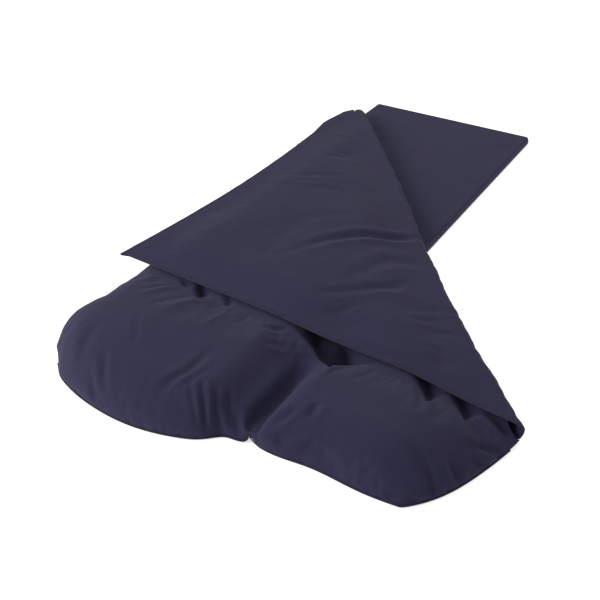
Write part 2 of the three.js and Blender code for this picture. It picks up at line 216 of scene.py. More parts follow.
def cotton(name, pitch=THREAD_PITCH, crumple=1.0):
    f = Finish(name)
    cloth = f.node("UVMap", {"uv_map": "cloth"})
    place = f.node("TexCoord", output=3)
    threads = f.node("SeparateXYZ", Vector=cloth)
    along = Value(f.material, threads.socket.node.outputs[0])
    over = Value(f.material, threads.socket.node.outputs[1])
    warp = (along * (2 * math.pi / pitch)).math("SINE")
    weft = (over * (2 * math.pi / pitch)).math("SINE")
    weave = warp * weft * 0.5 + 0.5
    slub_warp = f.node(
        "TexNoise",
        Vector=f.node("Mapping", Vector=cloth, Scale=(900, 22, 1)),
        Scale=1.0,
        Detail=2.0,
        Roughness=0.6,
    )
    slub_weft = f.node(
        "TexNoise",
        Vector=f.node("Mapping", Vector=cloth, Scale=(22, 900, 1)),
        Scale=1.0,
        Detail=2.0,
        Roughness=0.6,
    )
    slubs = (slub_warp + slub_weft) * 0.5
    tone = f.node("TexNoise", Vector=place, Scale=3.2, Detail=3.0, Roughness=0.55)
    lint = f.node("TexNoise", Vector=place, Scale=240.0, Detail=2.0, Roughness=0.7)
    body = f.mix(tone, NAVY_DEEP, NAVY)
    worn = (slubs - 0.42) * 2.2
    colour = f.mix(worn.math("MULTIPLY", 0.55).math("MAXIMUM", 0.0), body, NAVY_WORN)
    colour = f.mix((lint - 0.66).math("MAXIMUM", 0.0) * 1.6, colour, linear(84, 82, 98))
    f.set(Base_Color=colour, Roughness=0.84 + 0.1 * slubs)
    folds = f.node("TexNoise", Vector=place, Scale=16.0, Detail=3.0, Roughness=0.5, Distortion=0.6)
    crinkle = f.node("TexNoise", Vector=place, Scale=62.0, Detail=2.0, Roughness=0.5, Distortion=0.8)
    f.set(Specular_IOR_Level=0.15, Sheen_Weight=0.05, Sheen_Roughness=0.55, Sheen_Tint=(0.75, 0.75, 0.95, 1))
    height = (weave * 0.00012 + slubs * 0.00018) + folds * 0.0035 * crumple + crinkle * 0.0006 * crumple
    f.set(Normal=f.node("Bump", Strength=0.7, Distance=1.0, Height=height))
    return f.material




# Topper. A slab of memory foam in a fitted cotton cover, which is rounded over at its edges. It lies flat.
topper_low, topper_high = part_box("topper_base_panel")
TOPPER_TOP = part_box("topper_top_panel")[1].z
TOPPER_LEFT, TOPPER_RIGHT = topper_low.x, topper_high.x
TOPPER_FOOT, TOPPER_HEAD = topper_low.y, topper_high.y
TOPPER_SEAM = 0.010
HEAD_CORNER = 0.009
FOOT_CORNER = 0.030
FOOT_CURVE = (0.070, 0.250)
fold = next(j for j in frame["joints"] if j["name"] == "corner_fold")
fold_place = np.array(fold["pos_m"])
fold_axis = np.array(fold["axis"]) / np.linalg.norm(fold["axis"])


def fold_at(x):
    """The point of the fold's axis at x."""
    return fold_place + fold_axis * (x - fold_place[0]) / fold_axis[0]


duvet_low, duvet_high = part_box("duvet_upper_panel")
FOLD_HEAD = fold_at(duvet_low.x)
FOLD_FOOT = fold_at(duvet_high.x)
FOLD_LENGTH = float(np.linalg.norm(FOLD_FOOT[:2] - FOLD_HEAD[:2]))
fold_run = (FOLD_FOOT[:2] - FOLD_HEAD[:2]) / FOLD_LENGTH
fold_out = np.array([-fold_run[1], fold_run[0]])


def behind_fold(x, y):
    """Distance from the fold's axis, positive on the side where the duvet lies."""
    return -(fold_out[0] * (x - FOLD_HEAD[0]) + fold_out[1] * (y - FOLD_HEAD[1]))


def along_fold(x, y):
    return fold_run[0] * (x - FOLD_HEAD[0]) + fold_run[1] * (y - FOLD_HEAD[1])


def ease(distance, reach):
    t = np.clip(np.asarray(distance, float) / reach, 0, 1)
    return t * t * (3 - 2 * t)


def puff(distance, reach):
    """A steep rise from 0 to 1 that levels out, as the side of a stuffed seam does."""
    t = np.clip(np.asarray(distance, float) / reach, 0, 1)
    return np.sqrt(1 - (1 - t) ** 2)


def rolling(x, y, size, seed):
    """A smooth random surface between about -1 and 1. Its hills are about that size."""
    chance = np.random.default_rng(seed)
    total = 0
    for _ in range(9):
        heading, phase = chance.uniform(0, 2 * math.pi, 2)
        length = size * chance.uniform(0.7, 1.5)
        total = total + np.sin(2 * math.pi * (x * math.cos(heading) + y * math.sin(heading)) / length + phase)
    return total / 4


def creased(x, y, creases):
    """The height that a list of creases adds: a groove with a low ridge at each side of it.

    A crease fades out at both ends, or only at its far end where a fourth value says it starts at an edge.
    """
    height = np.zeros(np.shape(x))
    for line, width, depth, *at_edge in creases:
        line = np.asarray(line, float)
        lengths = np.concatenate([[0], np.cumsum(np.linalg.norm(np.diff(line, axis=0), axis=1))])
        nearest = np.full(np.shape(x), 1e9)
        share = np.zeros(np.shape(x))
        for number, (a, b) in enumerate(zip(line, line[1:])):
            step = b - a
            t = np.clip(((x - a[0]) * step[0] + (y - a[1]) * step[1]) / (step @ step), 0, 1)
            distance = np.hypot(x - a[0] - t * step[0], y - a[1] - t * step[1])
            closer = distance < nearest
            nearest = np.where(closer, distance, nearest)
            share = np.where(closer, (lengths[number] + t * math.sqrt(step @ step)) / lengths[-1], share)
        start_fade = 1 if at_edge else 0.15 + 0.85 * ease(share, 0.3)
        fade = start_fade * (0.1 + 0.9 * ease(1 - share, 0.5 if at_edge else 0.3))
        groove = np.exp(-((nearest / width) ** 2)) - 0.4 * np.exp(-(((nearest - 2.1 * width) / width) ** 2))
        height = height - depth * fade * groove
    return height


def even(points, spacing):
    """The same line with its points evenly spaced."""
    points = np.asarray(points, float)
    lengths = np.concatenate([[0], np.cumsum(np.linalg.norm(np.diff(points, axis=0), axis=1))])
    places = np.linspace(0, lengths[-1], max(int(lengths[-1] / spacing), 2) + 1)
    return np.stack([np.interp(places, lengths, points[:, i]) for i in range(points.shape[1])], 1)


def arc(centre, radii, start, end):
    turn = np.radians(np.linspace(start, end, 24))
    return np.stack([centre[0] + radii[0] * np.cos(turn), centre[1] + radii[1] * np.sin(turn)], 1)


def clearance(outline, places):
    """Distance of each place inside an outline from its nearest edge, negative outside it."""
    nearest = np.full(len(places), 1e9)
    inside = np.zeros(len(places), bool)
    for a, b in zip(outline, np.roll(outline, -1, 0)):
        edge = b - a
        t = np.clip(((places - a) @ edge) / max(edge @ edge, 1e-12), 0, 1)
        nearest = np.minimum(nearest, np.linalg.norm(places - a - t[:, None] * edge, axis=1))
        if a[1] != b[1]:
            crossing = a[0] + (places[:, 1] - a[1]) * (b[0] - a[0]) / (b[1] - a[1])
            inside ^= ((a[1] > places[:, 1]) != (b[1] > places[:, 1])) & (places[:, 0] < crossing)
    return np.where(inside, nearest, -nearest)


def filled_outline(outline, spacing, rings, keep=None):
    """A flat triangle mesh of an outline: rows that follow its edge, and an even lattice inside them.

    The first points are the outline's own, in order.
    """
    before, after = np.roll(outline, 1, 0), np.roll(outline, -1, 0)
    tangent = after - before
    inward = np.stack([-tangent[:, 1], tangent[:, 0]], 1) / np.linalg.norm(tangent, axis=1)[:, None]
    if np.sum(outline[:, 0] * after[:, 1] - after[:, 0] * outline[:, 1]) < 0:
        inward = -inward
    kept = [outline]
    for ring in rings:
        row = outline + inward * ring
        kept.append(row[clearance(outline, row) > ring * 0.93])
    low, high = outline.min(0), outline.max(0)
    lattice = []
    for number, y in enumerate(np.arange(low[1], high[1], spacing * 0.866)):
        x = np.arange(low[0] + (number % 2) * spacing / 2, high[0], spacing)
        lattice.append(np.stack([x, np.full(len(x), y)], 1))
    lattice = np.concatenate(lattice)
    if keep is not None:
        lattice = lattice[keep(lattice)]
    kept.append(lattice[clearance(outline, lattice) > (rings[-1] if rings else 0) + spacing * 0.6])
    places = np.concatenate(kept)
    count = len(outline)
    edges = [(i, (i + 1) % count) for i in range(count)]
    flat, _, faces, origins, _, _ = delaunay_2d_cdt([Vector(p) for p in places], edges, [], 1, 1e-7)
    flat = np.array([tuple(p) for p in flat])
    first = np.array([min(origin) if len(origin) else len(places) for origin in origins])
    order = np.argsort(first, kind="stable")
    place = np.empty(len(order), int)
    place[order] = np.arange(len(order))
    return flat[order], place[np.array(faces)], count


def coarse(p, step, spacing):
    """Picks out every so many points of a lattice."""
    row = np.round((p[:, 1] - p[:, 1].min()) / (spacing * 0.866)).astype(int)
    column = np.floor((p[:, 0] - p[:, 0].min()) / spacing + 0.25).astype(int)
    return (row % step == 0) & (column % step == 0)


def finished(name, points, faces, material, uv=None, soft=True):
    """A mesh object at the origin, with its own cloth UV map in metres."""
    mesh = bpy.data.meshes.new(name)
    mesh.from_pydata([tuple(p) for p in points], [], [tuple(f) for f in faces])
    mesh.materials.append(material)
    flat = np.asarray(points)[:, :2] if uv is None else np.asarray(uv)
    layer = mesh.uv_layers.new(name="cloth")
    corner_vertex = np.zeros(len(mesh.loops), int)
    mesh.loops.foreach_get("vertex_index", corner_vertex)
    layer.data.foreach_set("uv", flat[corner_vertex].astype(np.float32).ravel())
    for polygon in mesh.polygons:
        polygon.use_smooth = soft
    mesh.validate()
    piece = bpy.data.objects.new(name, mesh)
    bpy.context.scene.collection.objects.link(piece)
    return piece


def closed_pad(flat, faces, rim, top, under, seam):
    """Two panels that meet in a seam: the outline's points are shared by both."""
    upper = np.column_stack([flat, top])
    upper[:rim, 2] = seam[:rim]
    lower = np.column_stack([flat, under])[rim:]
    own = np.arange(len(flat))
    number = np.where(own < rim, own, own + len(flat) - rim)
    return np.concatenate([upper, lower]), np.concatenate([faces, number[faces][:, ::-1]])


topper_outline = even(np.concatenate([
    arc((TOPPER_RIGHT - HEAD_CORNER, TOPPER_HEAD - HEAD_CORNER), (HEAD_CORNER, HEAD_CORNER), 0, 90),
    arc((TOPPER_LEFT + HEAD_CORNER, TOPPER_HEAD - HEAD_CORNER), (HEAD_CORNER, HEAD_CORNER), 90, 180),
    arc((TOPPER_LEFT + FOOT_CURVE[0], TOPPER_FOOT + FOOT_CURVE[1]), FOOT_CURVE, 180, 270),
    arc((TOPPER_RIGHT - FOOT_CORNER, TOPPER_FOOT + FOOT_CORNER), (FOOT_CORNER, FOOT_CORNER), 270, 360),
    [(TOPPER_RIGHT, TOPPER_HEAD - HEAD_CORNER)],
]), 0.009)[:-1]


def bare(p):
    return (behind_fold(p[:, 0], p[:, 1]) < 0.06) | coarse(p, 3, 0.009)


flat, faces, rim = filled_outline(topper_outline, 0.009, [0.0006, 0.002, 0.0045, 0.008, 0.013], bare)
x, y = flat.T
edge = np.maximum(clearance(topper_outline, flat), 0)
edge[:rim] = 0
dents = 0.0011 * rolling(x, y, 0.34, 4) + 0.0004 * rolling(x, y, 0.09, 5) - 0.0006
dents = dents + creased(x, y, [
    ([(0.030, 0.448), (0.046, 0.390), (0.062, 0.325)], 0.006, 0.0016),
    ([(0.052, 0.430), (0.090, 0.372), (0.118, 0.352)], 0.007, 0.0010),
])
top = TOPPER_SEAM + (TOPPER_TOP + 0.0015 - TOPPER_SEAM) * puff(edge, 0.007) + dents * ease(edge, 0.05)
under = TOPPER_SEAM - (TOPPER_SEAM - 0.0004) * puff(edge, 0.010)
points, faces = closed_pad(flat, faces, rim, top, under, np.full(len(flat), TOPPER_SEAM))
topper_cover = finished("topper_cover", points, faces, cotton("topper_cotton", crumple=0.25))
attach(topper_cover, "topper_and_duvet")
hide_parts("topper_base_panel", "topper_side_band", "topper_top_panel")

# Foam. A slab of open-cell memory foam fills the cover.
f = Finish("memory_foam")
place = f.node("TexCoord", output=3)
cells = f.node("TexVoronoi", Vector=place, Scale=900.0)
cloud = f.node("TexNoise", Vector=place, Scale=9.0, Detail=3.0)
f.set(Base_Color=f.mix(cloud, linear(222, 212, 186), linear(236, 228, 206)), Roughness=0.9 + 0.08 * cells)
f.set(Normal=f.node("Bump", Strength=0.5, Distance=1.0, Height=cells * 0.0006))
tangent = np.roll(topper_outline, -1, 0) - np.roll(topper_outline, 1, 0)
inward = np.column_stack([-tangent[:, 1], tangent[:, 0]]) / np.linalg.norm(tangent, axis=1)[:, None]
foam_outline = topper_outline + inward * 0.0020
flat, faces, rim = filled_outline(foam_outline, 0.030, [0.003, 0.008])
edge = np.maximum(clearance(foam_outline, flat), 0)
foam_top = TOPPER_SEAM + (TOPPER_TOP - 0.0042 - TOPPER_SEAM) * puff(edge, 0.014)
foam_under = TOPPER_SEAM - (TOPPER_SEAM - 0.0020) * puff(edge, 0.010)
points, faces = closed_pad(flat, faces, rim, foam_top, foam_under, np.full(len(flat), TOPPER_SEAM))
foam = finished("foam_slab", points, faces, f.material)
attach(foam, "topper_and_duvet")
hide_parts("foam_core")

# Seams of the cover. A row of lockstitch runs round it below its rounded edge, in the cover's own thread.
f = Finish("navy_thread")
place = f.node("TexCoord", output=3)
ply = f.node("TexNoise", Vector=place, Scale=1800.0, Detail=2.0)
shade = f.node("TexNoise", Vector=place, Scale=30.0, Detail=2.0)
f.set(Base_Color=f.mix(shade, linear(34, 32, 46), linear(44, 42, 58)), Roughness=0.55 + 0.25 * ply)
f.set(Sheen_Weight=0.1, Normal=f.node("Bump", Strength=0.6, Distance=1.0, Height=ply * 0.0002))
navy_thread = f.material


class Tree:
    """A geometry node tree with named inputs, made one call at a time."""

    def __init__(self, name, inputs):
        self.tree = bpy.data.node_groups.new(name, "GeometryNodeTree")
        self.tree.interface.new_socket("Geometry", in_out="INPUT", socket_type="NodeSocketGeometry")
        for label, (kind, value) in inputs.items():
            socket = self.tree.interface.new_socket(label, in_out="INPUT", socket_type="NodeSocket" + kind)
            if value is not None:
                socket.default_value = value
        self.tree.interface.new_socket("Geometry", in_out="OUTPUT", socket_type="NodeSocketGeometry")
        self.start = self.tree.nodes.new("NodeGroupInput")
        self.end = self.tree.nodes.new("NodeGroupOutput")

    def node(self, kind, settings=None, **sockets):
        made = self.tree.nodes.new(kind)
        for key, value in (settings or {}).items():
            setattr(made, key, value)
        for key, value in sockets.items():
            socket = made.inputs[key.replace("_", " ")]
            if isinstance(value, bpy.types.NodeSocket):
                self.tree.links.new(value, socket)
            else:
                socket.default_value = value
        return made.outputs[0]

    def given(self, label):
        return self.start.outputs[label]

    def finish(self, geometry):
        self.tree.links.new(geometry, self.end.inputs[0])
        return self.tree


def grown(name, base, tree, **values):
    """The plain mesh that a node tree makes from a base mesh object, which is removed."""
    modifier = base.modifiers.new("grow", "NODES")
    modifier.node_group = tree
    for item in tree.interface.items_tree:
        label = item.name.replace(" ", "_")
        if item.in_out == "INPUT" and label in values:
            modifier[item.identifier] = values[label]
    evaluated = base.evaluated_get(bpy.context.evaluated_depsgraph_get())
    mesh = bpy.data.meshes.new_from_object(evaluated)
    mesh.name = name
    piece = bpy.data.objects.new(name, mesh)
    bpy.context.scene.collection.objects.link(piece)
    base.modifiers.remove(modifier)
    bpy.data.objects.remove(base)
    return piece


def polyline(points, closed=False):
    mesh = bpy.data.meshes.new("path")
    count = len(points)
    edges = [(i, i + 1) for i in range(count - 1)] + ([(count - 1, 0)] if closed else [])
    mesh.from_pydata([tuple(p) for p in points], edges, [])
    path = bpy.data.objects.new("path", mesh)
    bpy.context.scene.collection.objects.link(path)
    return path


stitch_tree = Tree("stitches", {
    "Pitch": ("Float", 0.004),
    "Stitch Length": ("Float", 0.003),
    "Thread": ("Float", 0.0006),
    "Finish": ("Material", None),
})
line = stitch_tree.node("GeometryNodeMeshToCurve", Mesh=stitch_tree.given("Geometry"))
line = stitch_tree.node(
    "GeometryNodeResampleCurve", {"mode": "LENGTH"}, Curve=line, Length=stitch_tree.given("Pitch")
)
heading = stitch_tree.node("GeometryNodeInputTangent")
turn = stitch_tree.node("FunctionNodeAlignRotationToVector", {"axis": "Z"}, Vector=heading)
thread = stitch_tree.node(
    "GeometryNodeMeshCylinder",
    Vertices=6,
    Radius=stitch_tree.given("Thread"),
    Depth=stitch_tree.given("Stitch Length"),
)
row = stitch_tree.node("GeometryNodeInstanceOnPoints", Points=line, Instance=thread, Rotation=turn)
row = stitch_tree.node("GeometryNodeRealizeInstances", Geometry=row)
row = stitch_tree.node("GeometryNodeSetShadeSmooth", Geometry=row)
stitches = stitch_tree.finish(
    stitch_tree.node("GeometryNodeSetMaterial", Geometry=row, Material=stitch_tree.given("Finish"))
)


def stitched(name, points, body, pitch=0.0036, length=0.0026, thread_radius=0.00035, closed=False):
    piece = grown(
        name,
        polyline(points, closed),
        stitches,
        Pitch=pitch,
        Stitch_Length=length,
        Thread=thread_radius,
        Finish=navy_thread,
    )
    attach(piece, body)
    return piece


seam_line = np.column_stack([topper_outline, np.full(len(topper_outline), TOPPER_SEAM)])
stitched("cover_stitches", seam_line, "topper_and_duvet", closed=True)

# Zip. A nylon coil zip on woven tapes, sewn into the head end of the cover. It lets the foam out for washing.
f = Finish("zip_tape")
place = f.node("TexCoord", output=3)
spot = f.node("SeparateXYZ", Vector=place)
along = Value(f.material, spot.socket.node.outputs[0])
rise = Value(f.material, spot.socket.node.outputs[2])
rib = (along * (2 * math.pi / 0.0011)).math("SINE") * (rise * (2 * math.pi / 0.0008)).math("SINE")
dye = f.node("TexNoise", Vector=place, Scale=40.0, Detail=2.0)
f.set(Base_Color=f.mix(dye, linear(36, 34, 46), linear(48, 46, 60)), Roughness=0.8 + 0.1 * rib)
f.set(Sheen_Weight=0.1, Normal=f.node("Bump", Strength=0.6, Distance=1.0, Height=rib * 0.0001))
for tape in ("zip_tape_upper", "zip_tape_lower"):
    bpy.data.objects[tape].data.materials[0] = f.material

f = Finish("zip_nylon")
place = f.node("TexCoord", output=3)
haze = f.node("TexNoise", Vector=place, Scale=260.0, Detail=2.0)
f.set(Base_Color=f.mix(haze, linear(30, 29, 40), linear(44, 43, 56)), Roughness=0.32 + 0.2 * haze)
f.set(Normal=f.node("Bump", Strength=0.3, Distance=1.0, Height=haze * 0.0002))
zip_nylon = f.material
coil_tree = Tree("zip_teeth", {
    "Pitch": ("Float", 0.0014),
    "Tooth Length": ("Float", 0.0022),
    "Tooth": ("Float", 0.0006),
    "Finish": ("Material", None),
})
line = coil_tree.node("GeometryNodeMeshToCurve", Mesh=coil_tree.given("Geometry"))
line = coil_tree.node(
    "GeometryNodeResampleCurve", {"mode": "LENGTH"}, Curve=line, Length=coil_tree.given("Pitch")
)
tooth = coil_tree.node(
    "GeometryNodeMeshCylinder",
    Vertices=8,
    Radius=coil_tree.given("Tooth"),
    Depth=coil_tree.given("Tooth Length"),
)
row = coil_tree.node("GeometryNodeInstanceOnPoints", Points=line, Instance=tooth)
row = coil_tree.node("GeometryNodeRealizeInstances", Geometry=row)
row = coil_tree.node("GeometryNodeSetShadeSmooth", Geometry=row)
zip_teeth = coil_tree.finish(
    coil_tree.node("GeometryNodeSetMaterial", Geometry=row, Material=coil_tree.given("Finish"))
)
for side in ("upper", "lower"):
    low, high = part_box("zip_coil_" + side)
    middle = (low + high) / 2
    path = polyline([(low.x + 0.001, middle.y, middle.z), (high.x - 0.001, middle.y, middle.z)])
    coil = grown("zip_teeth_" + side, path, zip_teeth, Tooth_Length=(high.z - low.z) * 0.98, Finish=zip_nylon)
    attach(coil, "topper_and_duvet")
    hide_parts("zip_coil_" + side)
low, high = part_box("zip_tape_upper")
base_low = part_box("zip_tape_lower")[0]
for name, height in (("zip_stitches_upper", high.z - 0.002), ("zip_stitches_lower", base_low.z + 0.002)):
    stitched(name, [(low.x + 0.003, high.y, height), (high.x - 0.003, high.y, height)], "topper_and_duvet")

f = Finish("zinc_alloy")
place = f.node("TexCoord", output=3)
drawn = f.node("Mapping", Vector=place, Scale=(60, 900, 900))
grain = f.node("TexNoise", Vector=drawn, Scale=1.0, Detail=2.0)
rubbed = f.node("TexNoise", Vector=place, Scale=420.0, Detail=3.0, Roughness=0.6)
f.set(Base_Color=f.mix(rubbed, linear(96, 97, 102), linear(150, 150, 152)), Roughness=0.24 + 0.25 * grain)
f.set(Metallic=1.0, Normal=f.node("Bump", Strength=0.3, Distance=1.0, Height=grain * 0.0001))
for metal in ("zip_stop_left", "zip_stop_right", "zip_slider", "zip_pull"):
    bpy.data.objects[metal].data.materials[0] = f.material

# Care label. A blank woven satin label, folded once and sewn in under the binding on the cover's left side.
f = Finish("satin_label")
cloth = f.node("UVMap", {"uv_map": "cloth"})
woven = f.node("Mapping", Vector=cloth, Scale=(2600, 260, 1))
floats = f.node("TexNoise", Vector=woven, Scale=1.0, Detail=1.0)
aged = f.node("TexNoise", Vector=cloth, Scale=90.0, Detail=3.0)
f.set(Base_Color=f.mix(aged, linear(226, 223, 214), linear(240, 239, 234)), Roughness=0.34 + 0.2 * floats)
f.set(Sheen_Weight=0.3, Normal=f.node("Bump", Strength=0.4, Distance=1.0, Height=floats * 0.0001))
low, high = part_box("care_label")
fold_round = [(0.5 + 0.5 * math.cos(a), math.sin(a)) for a in np.linspace(0, -math.pi, 7)]
section = [(high.x, high.z)] + [
    (low.x + (high.x - low.x) * u, low.z + 0.0009 + 0.0009 * v) for u, v in fold_round
]
section = section + [(low.x, high.z)]
rows = np.linspace(low.y, high.y, 16)
wave = 0.0004 * np.sin(np.linspace(0, 5, len(section)))
points = [(a - abs(w) * math.sin(180 * (y - low.y)), y, z) for y in rows for (a, z), w in zip(section, wave)]
count = len(section)
faces = [
    (i * count + j, (i + 1) * count + j, (i + 1) * count + j + 1, i * count + j + 1)
    for i in range(len(rows) - 1)
    for j in range(count - 1)
]
label = finished("label", points, faces, f.material, uv=[(p[1], p[2]) for p in points])
thicken = label.modifiers.new("thickness", "SOLIDIFY")
thicken.thickness = 0.00022
thicken.offset = 0
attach(label, "topper_and_duvet")
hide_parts("care_label")

# Duvet. Two cotton panels round a hollow-fibre filling, sewn to the topper's left side and pouched round its
# foot. It lies on the topper and on the ground beside it. The panels meet in a seam that gathers them softly.
corner_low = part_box("corner_hem_lower")[0]
CORNER_TIP = np.array([corner_low.x, corner_low.y])
SEAM = 0.004
FOOT_LINE = -0.931
FOOT_LEFT, FOOT_RIGHT = -0.285, 0.698
POUCH = (-0.310, 0.300)
POUCH_DEPTH = 0.107
LAY = [(-0.400, 0.088), (0.100, 0.088), (0.340, 0.076), (0.520, 0.076), (0.846, 0.056)]
CROWN = [
    (-0.330, 0.098), (-0.090, 0.110), (0.160, 0.105), (0.306, 0.052), (0.385, 0.090), (0.600, 0.099),
    (0.846, 0.060),
]
FOLD_BULGE = [
    (0.00, 0.030), (0.115, 0.036), (0.345, 0.030), (0.643, 0.022), (0.82, 0.012), (0.995, -0.002),
    (1.081, -0.009),
    (1.217, -0.006), (1.293, -0.011), (1.500, -0.008), (1.700, 0.004), (1.850, 0.012),
]


def eased(pairs, x):
    """A smooth run of values through the pairs of place and value."""
    value = np.full(np.shape(x), pairs[0][1])
    for (x0, z0), (x1, z1) in zip(pairs, pairs[1:]):
        value = value + (z1 - z0) * ease(np.asarray(x) - x0, x1 - x0)
    return value


def left_edge(y):
    curl = np.maximum(-0.790 - y, 0) / 0.155
    full = 0.019 * np.exp(-(((y + 0.820) / 0.12) ** 2)) - 0.004 * np.exp(-(((y + 0.720) / 0.05) ** 2))
    full = full + 0.007 * np.exp(-(((y + 0.500) / 0.08) ** 2))
    return TOPPER_LEFT + 0.009 + 0.047 * curl**2 - full - 0.014 * np.clip((y - 0.300) / 0.500, 0, 1)


def foot_edge(x):
    turn = np.pi * np.clip((x - POUCH[0]) / (POUCH[1] - POUCH[0]), 0, 1)
    blunt = 0.8 - 0.18 * ease(0.05 - x, 0.2)
    beside = 0.014 * np.exp(-(((x - 0.610) / 0.12) ** 2)) + 0.013 * np.exp(-(((x - 0.370) / 0.08) ** 2))
    drawn_in = 0.012 * np.exp(-(((x + 0.285) / 0.03) ** 2)) + 0.019 * np.exp(-(((x - 0.240) / 0.034) ** 2))
    return FOOT_LINE - POUCH_DEPTH * np.sin(turn) ** blunt - beside + drawn_in


def right_edge(y):
    down = np.maximum(FOLD_FOOT[1] - y, 0)
    return FOLD_FOOT[0] - 0.31 * down - 15.5 * down**5


def fold_height(x, y):
    return FOLD_HEAD[2] + (FOLD_FOOT[2] - FOLD_HEAD[2]) * np.clip(along_fold(x, y) / FOLD_LENGTH, 0, 1)


def lay_height(x, y):
    """The surface that the turned-back corner lies on."""
    level = fold_height(x, y)
    return level + (eased(LAY, x) - level) * ease(behind_fold(x, y), 0.250)


def side_edge_y(x):
    run = FOLD_FOOT[:2] - CORNER_TIP
    return CORNER_TIP[1] + run[1] * (x - CORNER_TIP[0]) / run[0]


def lip_inset(t):
    """How far behind the axis the fabric that rounds the fold ends, under the duvet."""
    return 0.020 - eased(FOLD_BULGE, t)


def duvet_underside(x, y):
    past_side = np.maximum(x - TOPPER_RIGHT - 0.008, 0)
    past_foot = np.maximum(TOPPER_FOOT - 0.006 - y, 0)
    foot_reach = np.clip(TOPPER_FOOT - 0.006 - foot_edge(x), 0.012, 0.050)
    fall = np.maximum(ease(past_side, 0.075), ease(past_foot / foot_reach, 1))
    rest = TOPPER_TOP + 0.002 + (0.003 - TOPPER_TOP - 0.002) * fall
    return rest + 0.016 * (1 - puff(behind_fold(x, y), 0.110))


def duvet_top(x, y):
    seam = duvet_underside(x, y) + SEAM
    edges = puff(x - left_edge(y), 0.095) * puff(y - foot_edge(x), 0.130) * puff(right_edge(y) - x, 0.130)
    opened = ease(side_edge_y(x) - 0.012 - y, 0.110)
    lay = lay_height(x, y)
    crown = lay + (eased(CROWN, x) - lay) * opened
    for at, across, down, depth in [
        (-0.150, 0.016, 0.014, 0.008),
        (-0.092, 0.018, 0.034, 0.022),
        (0.001, 0.012, 0.022, 0.009),
        (0.340, 0.056, 0.064, 0.090),
        (0.606, 0.022, 0.052, 0.026),
        (0.704, 0.022, 0.046, 0.024),
        (0.806, 0.030, 0.020, 0.016),
    ]:
        off = side_edge_y(x) - 0.004 - y
        narrowed = across * np.clip(1.2 - 0.85 * off / down, 0.12, 1.2)
        crown = crown - depth * np.exp(-(((x - at - 0.35 * off) / narrowed) ** 2) - (off / down) ** 4)
    top = seam + np.maximum(crown - seam, 0) * edges
    return np.maximum(np.minimum(top, lay + opened * 0.2) - 0.002, seam)


def gathered(places, outline, seam_share, size, seed):
    """Small pleats that a seam pulls into the cloth: they run away from the seam and fade out."""
    off = np.maximum(clearance(outline, places), 0)
    across = rolling(places[:, 0], places[:, 1] * 0.22, size, seed)
    return across * np.exp(-off / 0.038) * seam_share(places[:, 0])


def plumped(piece, held, pressure, slack, cap, steps):
    """Runs a cloth simulation of a stuffed cover whose seams are held, and gives how far each point moves.

    The air in it pushes, and the cloth has a little more area than its shape needs, so that it gathers.
    """
    group = piece.vertex_groups.new(name="held")
    group.add([int(i) for i in np.flatnonzero(held)], 1.0, "REPLACE")
    cloth = piece.modifiers.new("cloth", "CLOTH")
    cloth.settings.quality = 4
    cloth.settings.mass = 0.25
    cloth.settings.tension_stiffness = 18
    cloth.settings.compression_stiffness = 12
    cloth.settings.shear_stiffness = 6
    cloth.settings.bending_stiffness = 0.6
    cloth.settings.vertex_group_mass = "held"
    cloth.settings.use_pressure = True
    cloth.settings.uniform_pressure_force = pressure
    cloth.settings.shrink_min = -slack
    cloth.settings.effector_weights.gravity = 0
    cloth.collision_settings.use_collision = False
    cloth.point_cache.frame_start = 1
    cloth.point_cache.frame_end = steps
    start = np.empty(len(piece.data.vertices) * 3)
    piece.data.vertices.foreach_get("co", start)
    for step in range(1, steps + 1):
        bpy.context.scene.frame_set(step)
    settled = piece.evaluated_get(bpy.context.evaluated_depsgraph_get()).data
    end = np.empty(len(settled.vertices) * 3)
    settled.vertices.foreach_get("co", end)
    piece.modifiers.remove(cloth)
    piece.vertex_groups.remove(group)
    bpy.context.scene.frame_set(1)
    move = (end - start).reshape(-1, 3)
    far = np.linalg.norm(move, axis=1)[:, None]
    return move * cap * np.tanh(far / cap) / np.maximum(far, 1e-9)


def placed(piece, points):
    piece.data.vertices.foreach_set("co", np.asarray(points, np.float32).ravel())
    piece.data.update()


foot_run = [(x, foot_edge(x)) for x in np.linspace(FOOT_LEFT, FOOT_RIGHT, 400)]
right_run = [(right_edge(y), y) for y in np.linspace(FOOT_LINE, FOLD_FOOT[1] - 0.004, 120)]
fold_t = np.linspace(FOLD_LENGTH - 0.030, 0.055, 200)
fold_line = FOLD_HEAD[:2] + fold_run * fold_t[:, None] - fold_out * (lip_inset(fold_t) + 0.008)[:, None]
left_run = [(left_edge(y), y) for y in np.linspace(FOLD_HEAD[1] - 0.050, FOOT_LINE + 0.004, 300)]
duvet_outline = np.concatenate([
    even(foot_run, 0.007)[:-1],
    even(right_run, 0.007),
    even(fold_line, 0.012),
    even(left_run, 0.010),
])


def lobes(p):
    return (p[:, 1] < side_edge_y(p[:, 0]) + 0.07) | coarse(p, 4, 0.0062)


